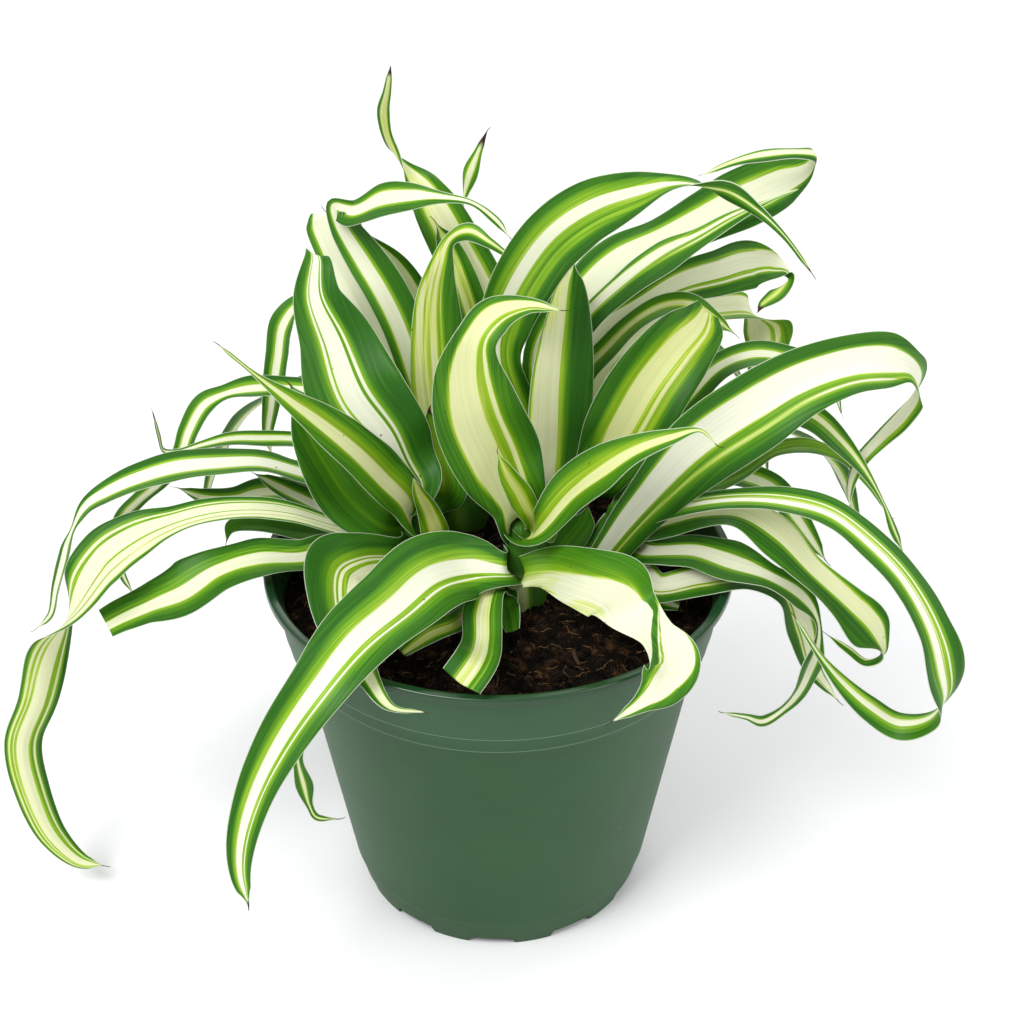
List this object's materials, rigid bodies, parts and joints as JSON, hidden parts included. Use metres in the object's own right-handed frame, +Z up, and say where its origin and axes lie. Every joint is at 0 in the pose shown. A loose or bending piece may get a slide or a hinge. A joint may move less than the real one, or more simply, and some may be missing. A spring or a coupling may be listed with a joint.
{
  "type": "potted spider plant",
  "caption": "Variegated spider plant with long arching strap leaves growing from clustered crowns in a tapered round nursery pot filled with potting soil.",
  "frame": {"origin": "centre of the circle on which the pot's foot stands", "axes": "+Z up along the pot's axis; +X to the picture viewer's right and +Y away from the picture's viewer"},
  "size_m": [0.3376, 0.2847, 0.2955],
  "materials": {
    "pot": "matt muted green moulded plastic with a fine grain",
    "soil": "dark loose peat with fibres and small wood chips",
    "crown": "pale sheathing leaf bases, satin",
    "leaf": "satin, dark green margins round a cream and yellow-green centre"
  },
  "bodies": {
    "root": {"pot": "pot", "soil": "soil", "crown_front": "crown", "crown_left": "crown", "crown_back_left": "crown", "crown_back_right": "crown", "crown_right": "crown", "leaf_front_arch": "leaf", "leaf_front_right_fold": "leaf", "leaf_front_tall_curl": "leaf", "leaf_front_right_mid": "leaf", "leaf_front_inner_right": "leaf", "leaf_front_short_dark": "leaf", "leaf_front_cut_stub": "leaf", "leaf_front_soil_left": "leaf", "leaf_left_tall": "leaf", "leaf_left_broad_dark": "leaf", "leaf_left_front_pointed": "leaf", "leaf_left_inner_dark": "leaf", "leaf_left_over_rim": "leaf", "leaf_left_long_fold": "leaf", "leaf_left_low_wavy": "leaf", "leaf_left_low_dark": "leaf", "leaf_left_upper_arch": "leaf", "leaf_left_back_low": "leaf", "leaf_left_back_short": "leaf", "leaf_left_back_arch": "leaf", "leaf_left_back_droop": "leaf", "leaf_left_back_thin": "leaf", "leaf_left_front_hang": "leaf", "leaf_back_left_white": "leaf", "leaf_back_left_hook": "leaf", "leaf_back_left_pointed": "leaf", "leaf_centre_left_upright": "leaf", "leaf_centre_back_upright": "leaf", "leaf_tallest": "leaf", "leaf_back_slim_twist": "leaf", "leaf_right_big_arch": "leaf", "leaf_upper_right_hook": "leaf", "leaf_upper_right_slim": "leaf", "leaf_right_fold_tip": "leaf", "leaf_right_back_slim": "leaf", "leaf_right_broad_yellow": "leaf", "leaf_centre_pale": "leaf", "leaf_right_mid_back": "leaf", "leaf_far_right_droop": "leaf", "leaf_right_large_arch": "leaf", "leaf_right_under_arch": "leaf", "leaf_right_green_turn": "leaf", "leaf_right_long_loop": "leaf", "leaf_right_pale_long": "leaf", "leaf_right_low_curl": "leaf", "leaf_right_low_back": "leaf", "leaf_right_back_hang": "leaf", "leaf_back_far_left": "leaf", "leaf_back_side_left": "leaf", "leaf_back_middle": "leaf", "leaf_back_far_right": "leaf", "leaf_back_side_right": "leaf"}
  },
  "joints": []
}
